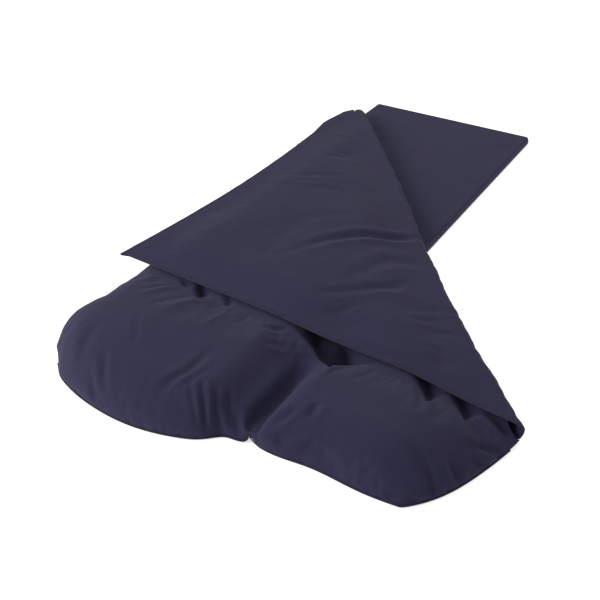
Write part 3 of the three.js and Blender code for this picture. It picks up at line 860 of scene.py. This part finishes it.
flat, faces, rim = filled_outline(duvet_outline, 0.0062, [0.0007, 0.0022, 0.0045, 0.008, 0.012, 0.017], lobes)
x, y = flat.T
top = duvet_top(x, y)
under = duvet_underside(x, y)
open_share = ease(side_edge_y(x) + 0.03 - y, 0.06)
off_seam = ease(clearance(duvet_outline, flat), 0.03)
top = top + open_share * off_seam * (0.0016 * rolling(x, y, 0.26, 11) + 0.0004 * rolling(x, y, 0.07, 12))
points, faces = closed_pad(flat, faces, rim, top, under, under + SEAM / 2)
duvet = finished("duvet", points, faces, cotton("duvet_cotton"))
free = np.zeros(len(points), bool)
free[rim:len(flat)] = (open_share[rim:] > 0.5) & (y[rim:] < side_edge_y(x[rim:]) - 0.03)
moved = plumped(duvet, ~free, 1.2, 0.025, 0.005, 14)
points = points + moved
upper = np.arange(len(points)) < len(flat)
creases = creased(x, y, [
    ([(-0.122, -0.995), (-0.084, -1.024), (-0.056, -1.030)], 0.009, 0.0035),
    ([(-0.119, -0.936), (-0.073, -1.002), (-0.045, -1.017)], 0.009, 0.0040),
    ([(-0.210, -0.860), (-0.190, -0.930), (-0.160, -0.985)], 0.012, 0.0025),
    ([(-0.151, -0.772), (-0.099, -0.843), (-0.063, -0.894)], 0.009, 0.0018),
    ([(0.104, -0.798), (0.104, -0.894), (0.078, -0.962), (0.082, -1.003)], 0.010, 0.0040),
    ([(0.136, -0.875), (0.126, -0.918), (0.113, -0.950)], 0.008, 0.0030),
    ([(0.204, -0.975), (0.163, -0.925), (0.135, -0.884)], 0.0065, 0.0055, True),
    ([(0.188, -0.985), (0.150, -0.950), (0.120, -0.920)], 0.005, 0.003, True),
    ([(0.225, -0.960), (0.200, -0.925), (0.183, -0.895)], 0.006, 0.0050, True),
    ([(0.250, -0.940), (0.224, -0.905), (0.206, -0.872)], 0.006, 0.0040, True),
    ([(0.276, -0.950), (0.262, -0.932), (0.244, -0.915)], 0.011, 0.016, True),
    ([
        (0.302, -0.925), (0.306, -0.874), (0.308, -0.809), (0.304, -0.739), (0.314, -0.657),
    ], 0.020, 0.014, True),
    ([(0.153, -0.650), (0.205, -0.592)], 0.010, 0.004),
    ([(0.187, -0.704), (0.243, -0.660)], 0.010, 0.004),
    ([(0.422, -0.823), (0.423, -0.871)], 0.010, 0.005),
    ([(0.422, -0.937), (0.456, -0.923), (0.524, -0.922)], 0.007, 0.007),
    ([(0.427, -0.936), (0.479, -0.940), (0.551, -0.933)], 0.006, 0.006),
    ([(0.347, -0.912), (0.370, -0.890), (0.388, -0.852)], 0.009, 0.006),
    ([(0.813, -0.735), (0.779, -0.772)], 0.009, 0.007, True),
    ([(0.816, -0.692), (0.773, -0.728), (0.744, -0.766)], 0.009, 0.006, True),
    ([(0.740, -0.880), (0.700, -0.850), (0.650, -0.835)], 0.012, 0.005, True),
    ([(0.775, -0.820), (0.730, -0.800)], 0.010, 0.005, True),
])


def seam_pull(at):
    """Where along the foot the seam pulls the cloth most."""
    return 0.35 + 0.65 * ease(rolling(at, 0 * at, 0.2, 3), 0.8)


pleats = 0.0011 * gathered(flat, duvet_outline, seam_pull, 0.030, 21)
shift = (creases * ease(clearance(duvet_outline, flat) + 0.004, 0.016) + pleats * off_seam) * open_share
placed(duvet, points)
normals = np.empty(len(points) * 3)
duvet.data.vertex_normals.foreach_get("vector", normals)
normals = normals.reshape(-1, 3)
points[:len(flat)] += normals[:len(flat)] * shift[:, None]
points[:, 2] = np.maximum(points[:, 2], 0.0008)
placed(duvet, points)
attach(duvet, "topper_and_duvet")
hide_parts("duvet_lower_panel", "duvet_filling", "duvet_upper_panel")

# Edge piping. A bias-cut cotton cord is sewn into the duvet's seam round its foot and right side.
f = Finish("binding_cotton")
place = f.node("TexCoord", output=3)
twill = f.node("TexWave", Vector=place, Scale=420.0, Distortion=1.5, Detail=1.0)
dye = f.node("TexNoise", Vector=place, Scale=26.0, Detail=3.0)
f.set(Base_Color=f.mix(dye, linear(30, 28, 44), linear(38, 36, 55)), Roughness=0.84 + 0.1 * twill)
f.set(Sheen_Weight=0.1, Specular_IOR_Level=0.3)
f.set(Normal=f.node("Bump", Strength=0.5, Distance=1.0, Height=twill * 0.0002 + dye * 0.0012))
binding_cotton = f.material
cord_tree = Tree("piping", {
    "Radius": ("Float", 0.002),
    "Finish": ("Material", None),
})
line = cord_tree.node("GeometryNodeMeshToCurve", Mesh=cord_tree.given("Geometry"))
line = cord_tree.node("GeometryNodeResampleCurve", {"mode": "LENGTH"}, Curve=line, Length=0.006)
ring = cord_tree.node("GeometryNodeCurvePrimitiveCircle", Resolution=10, Radius=cord_tree.given("Radius"))
cord = cord_tree.node("GeometryNodeCurveToMesh", Curve=line, Profile_Curve=ring, Fill_Caps=True)
cord = cord_tree.node("GeometryNodeSetShadeSmooth", Geometry=cord)
cord = cord_tree.node("GeometryNodeRealizeInstances", Geometry=cord)
piped_edge = cord_tree.finish(
    cord_tree.node("GeometryNodeSetMaterial", Geometry=cord, Material=cord_tree.given("Finish"))
)


def beside(line, distance):
    """The same plan line, moved to its right."""
    step = np.gradient(line, axis=0)
    step = step / np.linalg.norm(step, axis=1)[:, None]
    return line + np.column_stack([step[:, 1], -step[:, 0]]) * distance


seam_plan = np.concatenate([even(foot_run, 0.006)[:-1], even(right_run, 0.006)[:-6]])
seam_height = np.maximum(duvet_underside(*seam_plan.T) + SEAM / 2, 0.0024)
PIPING_RADIUS = 0.0016
piping_plan = beside(seam_plan, PIPING_RADIUS)
edge_piping = grown(
    "duvet_piping",
    polyline(np.column_stack([piping_plan, seam_height])),
    piped_edge,
    Radius=PIPING_RADIUS,
    Finish=binding_cotton,
)
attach(edge_piping, "topper_and_duvet")
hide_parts("duvet_edge_piping")
stitch_plan = beside(seam_plan, -0.0006)
stitched("duvet_seam_stitches", np.column_stack([stitch_plan, seam_height + 0.0021]), "topper_and_duvet")

# Side binding. A folded tape joins the duvet to the cover along the topper's left side, with one stitch row.
low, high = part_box("side_join_binding")
tape_y = np.arange(low.y, high.y - 0.05, 0.012)
tape_lie = 0.0004 * np.sin(tape_y * 70) + 0.0003 * np.sin(tape_y * 163)
section = [
    (TOPPER_LEFT + 0.0010, 0.014), (TOPPER_LEFT - 0.0014, 0.015), (TOPPER_LEFT - 0.0020, 0.022),
    (TOPPER_LEFT - 0.0014, 0.029), (TOPPER_LEFT + 0.0030, 0.0335), (TOPPER_LEFT + 0.0085, 0.0350),
    (TOPPER_LEFT + 0.0085, 0.0325), (TOPPER_LEFT + 0.0040, 0.0305),
]
count = len(section)
points = [(a + w, y, z + w) for y, w in zip(tape_y, tape_lie) for a, z in section]
faces = [
    (i * count + j, i * count + (j + 1) % count, (i + 1) * count + (j + 1) % count, (i + 1) * count + j)
    for i in range(len(tape_y) - 1)
    for j in range(count)
]
faces = faces + [tuple(range(count))[::-1], tuple(len(points) - count + j for j in range(count))]
side_binding = finished("side_binding", points, faces, binding_cotton, uv=[(p[1], p[2]) for p in points])
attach(side_binding, "topper_and_duvet")
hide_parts("side_join_binding")
stitched(
    "side_binding_stitches",
    np.column_stack([TOPPER_LEFT - 0.0017 + tape_lie, tape_y, 0.0175 + tape_lie]),
    "topper_and_duvet",
)

# Foot gusset. A flat cotton panel closes the pouch from below, between the cover's base and the duvet's edge.
low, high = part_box("foot_gusset")
gusset_outline = even(
    [(low.x, high.y)]
    + [(a, foot_edge(a) + 0.008) for a in np.linspace(low.x, high.x, 60)]
    + [(high.x, high.y), (low.x, high.y)],
    0.010,
)[:-1]
flat, faces, rim = filled_outline(gusset_outline, 0.014, [0.002])
slack = 0.0005 * rolling(flat[:, 0], flat[:, 1], 0.06, 31)
points, faces = closed_pad(flat, faces, rim, 0.0022 + slack, 0.0009 + slack, np.full(len(flat), 0.0012))
gusset = finished("gusset", points, faces, cotton("gusset_cotton", crumple=0.3))
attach(gusset, "topper_and_duvet")
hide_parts("foot_gusset")

# Turned corner. The duvet's head corner lies folded back on the duvet, so its lining is on top. One piece of
# cloth rounds the fold, from under the duvet to the corner's upper side. Its side edge ends in a piped seam.
HEM = 0.026
LINING_GAP = 0.0032
LIP_TUCK = 0.012
ROUND_STEPS = 14
STATIONS = 250


def hem_bowed(line):
    """The duvet's head edge isn't quite straight as it lies."""
    up = np.clip((line[:, 1] - CORNER_TIP[1]) / (FOLD_HEAD[1] - CORNER_TIP[1]), 0, 1)
    pulled_in = 0.019 * ease(up - 0.74, 0.14) * (1 - ease(up - 0.95, 0.05))
    bow = 0.031 * np.sin(math.pi * np.minimum(up / 0.84, 1)) - pulled_in
    return line + np.column_stack([bow, 0 * bow])


hem_tip = CORNER_TIP + np.array([HEM, 0.008])
hem_top = FOLD_HEAD[:2] + np.array([HEM + 0.002, -0.038])
side_end = FOLD_FOOT[:2] + np.array([-0.016, 0.008])


def corner_loft(x, y):
    side_run, hem_run = side_end - hem_tip, hem_top - hem_tip
    from_side = np.abs((y - hem_tip[1]) - side_run[1] * (x - hem_tip[0]) / side_run[0])
    from_hem = np.abs((x - hem_tip[0]) - hem_run[0] * (y - hem_tip[1]) / hem_run[1])
    soft = (0.3 + 0.7 * ease(from_side, 0.16)) * (0.4 + 0.6 * ease(from_hem, 0.14))
    return 0.005 + 0.016 * soft * (0.45 + 0.55 * ease(behind_fold(x, y), 0.25)) * puff(from_side, 0.05)


def round_start(t):
    return lip_inset(t) + 0.026


def station(share, s):
    """Place along the fold, at a distance behind the axis. The ends follow the hem and the side edge."""
    first = 0.018 + np.maximum(s, 0) * 1.49 + np.minimum(s, 0) * 0.4
    last = FOLD_LENGTH - 0.006 - np.maximum(s, 0) * 0.93 + np.minimum(s, 0) * 0.5
    return first + (last - first) * share


share = np.linspace(0, 1, STATIONS)
t_start = station(share, round_start(share * FOLD_LENGTH))
s_start = round_start(t_start)
for _ in range(3):
    t_start = station(share, s_start)
    s_start = round_start(t_start)
start_plan = FOLD_HEAD[:2] + fold_run * t_start[:, None] - fold_out * s_start[:, None]
corner_outline = np.concatenate([
    start_plan,
    even([start_plan[-1], side_end + (hem_tip - side_end) * 0.02, hem_tip], 0.0075)[1:-1],
    hem_bowed(even([hem_tip, start_plan[0]], 0.009)[:-1]),
])
flat, faces, rim = filled_outline(corner_outline, 0.0072, [0.003, 0.008])
x, y = flat.T
calm = ease(clearance(corner_outline, flat), 0.05)
lie = lay_height(x, y) + 0.002
folds = creased(x, y, [
    ([
        (0.305, 0.026), (0.236, -0.038), (0.174, -0.095), (0.085, -0.200), (0.021, -0.333),
    ], 0.014, 0.0085, True),
    ([(0.400, -0.110), (0.337, -0.133), (0.283, -0.175), (0.250, -0.299), (0.216, -0.377)], 0.020, 0.0034),
    ([(0.367, -0.244), (0.360, -0.299), (0.300, -0.358), (0.245, -0.411), (0.185, -0.459)], 0.013, 0.0036),
    ([(0.512, -0.292), (0.481, -0.329)], 0.012, 0.0024),
    ([(0.524, -0.360), (0.459, -0.407)], 0.012, 0.0026),
    ([(0.577, -0.385), (0.533, -0.412)], 0.010, 0.0022),
    ([(-0.054, 0.224), (-0.136, 0.157), (-0.244, 0.097)], 0.014, 0.0013),
    ([(0.003, 0.117), (-0.104, 0.068), (-0.162, 0.006)], 0.014, 0.0013),
    ([(0.502, -0.586), (0.393, -0.564)], 0.012, 0.0026),
    ([(0.120, 0.010), (0.020, -0.070), (-0.060, -0.160)], 0.020, 0.0014),
    ([(0.600, -0.470), (0.520, -0.500)], 0.012, 0.0018),
])
rumple = 0.0020 * rolling(x, y, 0.30, 41) + 0.0007 * rolling(x, y * 0.6, 0.06, 42) * ease(x + 0.15, 0.4)
creased_share = ease(clearance(corner_outline, flat) + 0.012, 0.03)
upper_skin = lie + corner_loft(x, y) + calm * rumple + folds * creased_share
under_skin = lie + 0.0008
step_turn = np.linspace(0, 1, ROUND_STEPS + 1)[1:]
bulge = eased(FOLD_BULGE, t_start)
past_topper = ease(start_plan[:, 0] - TOPPER_RIGHT - 0.02, 0.09)
lip_height = TOPPER_TOP + 0.0025 + (0.007 - TOPPER_TOP - 0.0025) * past_topper
outer_rows, inner_rows, outer_flat, inner_flat = [], [], [], []
puckers = 0.0016 * rolling(share, 0 * share, 0.05, 51) + 0.0010 * rolling(share, 0 * share, 0.018, 52)
for number, turn in enumerate(step_turn):
    angle = turn * math.pi
    lift, out = math.cos(angle), math.sin(angle)
    for rows, plans, skin, high_z, low_z in (
        (outer_rows, outer_flat, 0.0, upper_skin[:STATIONS], lip_height),
        (inner_rows, inner_flat, LINING_GAP, under_skin[:STATIONS], lip_height + 0.0030),
    ):
        centre_z, half_z = (high_z + low_z) / 2, (high_z - low_z) / 2
        reach = s_start + bulge - skin
        round_s = s_start - reach * abs(out) ** 0.85
        tuck = lip_inset(t_start) + LIP_TUCK + bulge - skin
        s = np.where(turn <= 0.5, round_s, -bulge + skin + (1 - abs(out) ** 0.85) * tuck)
        z = centre_z + half_z * np.sign(lift) * abs(lift) ** 0.85
        wobble = puckers * math.sin(math.pi * min(turn * 1.2, 1))
        t = station(share, s)
        place_xy = FOLD_HEAD[:2] + fold_run * t[:, None] - fold_out * (s + wobble)[:, None]
        rows.append(np.column_stack([place_xy, z]))
        unrolled = s_start - turn * (reach + half_z * 2)
        plans.append(FOLD_HEAD[:2] + fold_run * t[:, None] - fold_out * unrolled[:, None])
base = len(flat)
points = np.concatenate(
    [np.column_stack([flat, upper_skin]), np.column_stack([flat, under_skin])] + outer_rows + inner_rows
)
cloth_plan = np.concatenate([flat, flat] + outer_flat + inner_flat)
strips = []


def band(first, second, flip):
    for i in range(STATIONS - 1):
        quad = (first[i], second[i], second[i + 1], first[i + 1])
        strips.append(quad[::-1] if flip else quad)


top_row = np.arange(STATIONS)
under_row = top_row + base
round_rows = [2 * base + n * STATIONS + top_row for n in range(2 * ROUND_STEPS)]
outer_index = [top_row] + round_rows[:ROUND_STEPS]
inner_index = [under_row] + round_rows[ROUND_STEPS:]
for a, b in zip(outer_index, outer_index[1:]):
    band(a, b, True)
for a, b in zip(inner_index, inner_index[1:]):
    band(a, b, False)
band(outer_index[-1], inner_index[-1], True)
for end, flip in ((0, True), (STATIONS - 1, False)):
    for n in range(ROUND_STEPS):
        quad = (outer_index[n][end], outer_index[n + 1][end], inner_index[n + 1][end], inner_index[n][end])
        strips.append(quad[::-1] if flip else quad)
for i in range(STATIONS - 1, rim):
    a, b = i, (i + 1) % rim
    strips.append((a, a + base, b + base, b))
all_faces = [tuple(f) for f in faces] + [tuple(f)[::-1] for f in faces + base] + strips
corner = finished("turned_corner", points, all_faces, cotton("corner_cotton"), uv=cloth_plan)
check = bmesh.new()
check.from_mesh(corner.data)
bmesh.ops.recalc_face_normals(check, faces=check.faces)
check.to_mesh(corner.data)
check.free()
free = np.zeros(len(points), bool)
free[:base] = clearance(corner_outline, flat) > 0.03
settle = np.zeros(len(points))
settle[:base] = ease(clearance(corner_outline, flat) - 0.03, 0.10)
points = points + plumped(corner, ~free, 0.5, 0.012, 0.004, 12) * settle[:, None]
placed(corner, points)
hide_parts("corner_lower_panel", "corner_filling", "corner_upper_panel")
across_fold = np.array([-0.35 * fold_out[0], -0.35 * fold_out[1], 0.94])
across_fold = across_fold - fold_axis * (across_fold @ fold_axis)
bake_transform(corner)

# Corner piping. The same cord ends the turned corner's side seam.
side_line = even([hem_tip, side_end], 0.006)
side_plan = beside(side_line, PIPING_RADIUS)
side_height = lay_height(*side_line.T) + 0.0050
corner_piping = grown(
    "corner_piping",
    polyline(np.column_stack([side_plan, side_height])),
    piped_edge,
    Radius=PIPING_RADIUS,
    Finish=binding_cotton,
)
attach(corner_piping, "duvet_corner")
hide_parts("corner_side_piping")
stitched(
    "corner_stitches",
    np.column_stack([beside(side_line, -0.0012), lay_height(*side_line.T) + 0.0072]),
    "duvet_corner",
)

# Hem. The head edge of the duvet's cover is two hemmed layers with poppers between them. The filling goes in
# through it, and each layer is turned in once and stitched.
hem_cotton = cotton("hem_cotton", crumple=0.4)
for name, lift, seed in (("hem_lower", 0.0, 61), ("hem_upper", 0.0044, 62)):
    count = 170
    run = np.linspace(0, 1, count)[:, None]
    low_edge = hem_bowed(CORNER_TIP + (FOLD_HEAD[:2] + np.array([0, -0.014]) - CORNER_TIP) * run)
    in_edge = hem_bowed(hem_tip + np.array([0.0025, 0]) + (hem_top - hem_tip) * run)
    across = [0, 0.02, 0.08, 0.3, 0.6, 0.9, 1.0]
    sheet_points = []
    for k in across:
        plan = low_edge + (in_edge - low_edge) * k
        ripple = 0.0004 * rolling(plan[:, 1], 0 * plan[:, 1] + k * 0.02, 0.05, seed)
        sheet_points.append(np.column_stack([plan, lay_height(*plan.T) + 0.002 + lift + ripple + 0.0006]))
    lower_points = [row - np.array([0, 0, 0.0011 * min(k / 0.02, 1)]) for k, row in zip(across, sheet_points)]
    rows = sheet_points + lower_points
    count_rows = len(across)
    grid_faces = []
    for half, flip in ((0, True), (count_rows, False)):
        for r in range(count_rows - 1):
            for i in range(count - 1):
                a = (half + r) * count + i
                quad = (a, a + 1, a + count + 1, a + count)
                grid_faces.append(quad[::-1] if flip else quad)
    for i in range(count - 1):
        a, b = (count_rows - 1) * count + i, (2 * count_rows - 1) * count + i
        grid_faces.append((a, a + 1, b + 1, b))
    hem = finished(name, np.concatenate(rows), grid_faces, hem_cotton)
    weld = bmesh.new()
    weld.from_mesh(hem.data)
    bmesh.ops.remove_doubles(weld, verts=weld.verts, dist=0.00002)
    bmesh.ops.holes_fill(weld, edges=[e for e in weld.edges if e.is_boundary], sides=0)
    bmesh.ops.recalc_face_normals(weld, faces=weld.faces)
    weld.to_mesh(hem.data)
    weld.free()
    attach(hem, "duvet_corner")
    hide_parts("corner_" + name)
stitch_ends = [CORNER_TIP + np.array([0.021, 0.012]), FOLD_HEAD[:2] + np.array([0.021, -0.042])]
stitch_line = hem_bowed(even(stitch_ends, 0.006))
stitched("hem_stitches", np.column_stack([stitch_line, lay_height(*stitch_line.T) + 0.0072]), "duvet_corner")

# Poppers. Moulded plastic press studs hold the two hem layers together. Each is a dished socket on one layer
# and a stud on the other.
f = Finish("moulded_plastic")
place = f.node("TexCoord", output=3)
mottle = f.node("TexNoise", Vector=place, Scale=300.0, Detail=2.0)
f.set(Base_Color=f.mix(mottle, linear(206, 208, 212), linear(222, 224, 226)), Roughness=0.35 + 0.15 * mottle)
f.set(Normal=f.node("Bump", Strength=0.2, Distance=1.0, Height=mottle * 0.0001))
for name, rim_radius, rim_depth, boss_radius, boss_depth, hang in (
    ("popper_socket", 0.0050, 0.0007, 0.0034, 0.0003, 0.0),
    ("popper_stud", 0.0030, 0.0004, 0.0020, 0.0006, 0.00005),
):
    tree = Tree(name + "s", {
        "Flange Radius": ("Float", 0.005),
        "Flange Depth": ("Float", 0.0007),
        "Boss Radius": ("Float", 0.003),
        "Boss Depth": ("Float", 0.0003),
        "Finish": ("Material", None),
    })
    flange = tree.node(
        "GeometryNodeMeshCylinder",
        Vertices=24,
        Radius=tree.given("Flange Radius"),
        Depth=tree.given("Flange Depth"),
    )
    boss = tree.node(
        "GeometryNodeMeshCone",
        Vertices=24,
        Radius_Top=tree.given("Boss Radius"),
        Radius_Bottom=tree.given("Flange Radius"),
        Depth=tree.given("Boss Depth"),
    )
    raised = tree.node("GeometryNodeTransform", Geometry=boss, Translation=(0, 0, rim_depth / 2))
    joined = tree.tree.nodes.new("GeometryNodeJoinGeometry")
    tree.tree.links.new(flange, joined.inputs[0])
    tree.tree.links.new(raised, joined.inputs[0])
    row = tree.node("GeometryNodeInstanceOnPoints", Points=tree.given("Geometry"), Instance=joined.outputs[0])
    row = tree.node("GeometryNodeRealizeInstances", Geometry=row)
    made = tree.finish(tree.node("GeometryNodeSetMaterial", Geometry=row, Material=tree.given("Finish")))
    nodes = [f"{name}_{number}" for number in range(1, 7)]
    middles = [(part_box(node)[0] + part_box(node)[1]) / 2 + Vector((0, 0, hang)) for node in nodes]
    piece = grown(
        name + "s",
        polyline(middles),
        made,
        Flange_Radius=rim_radius,
        Flange_Depth=rim_depth,
        Boss_Radius=boss_radius,
        Boss_Depth=boss_depth,
        Finish=f.material,
    )
    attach(piece, "duvet_corner")
    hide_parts(*nodes)
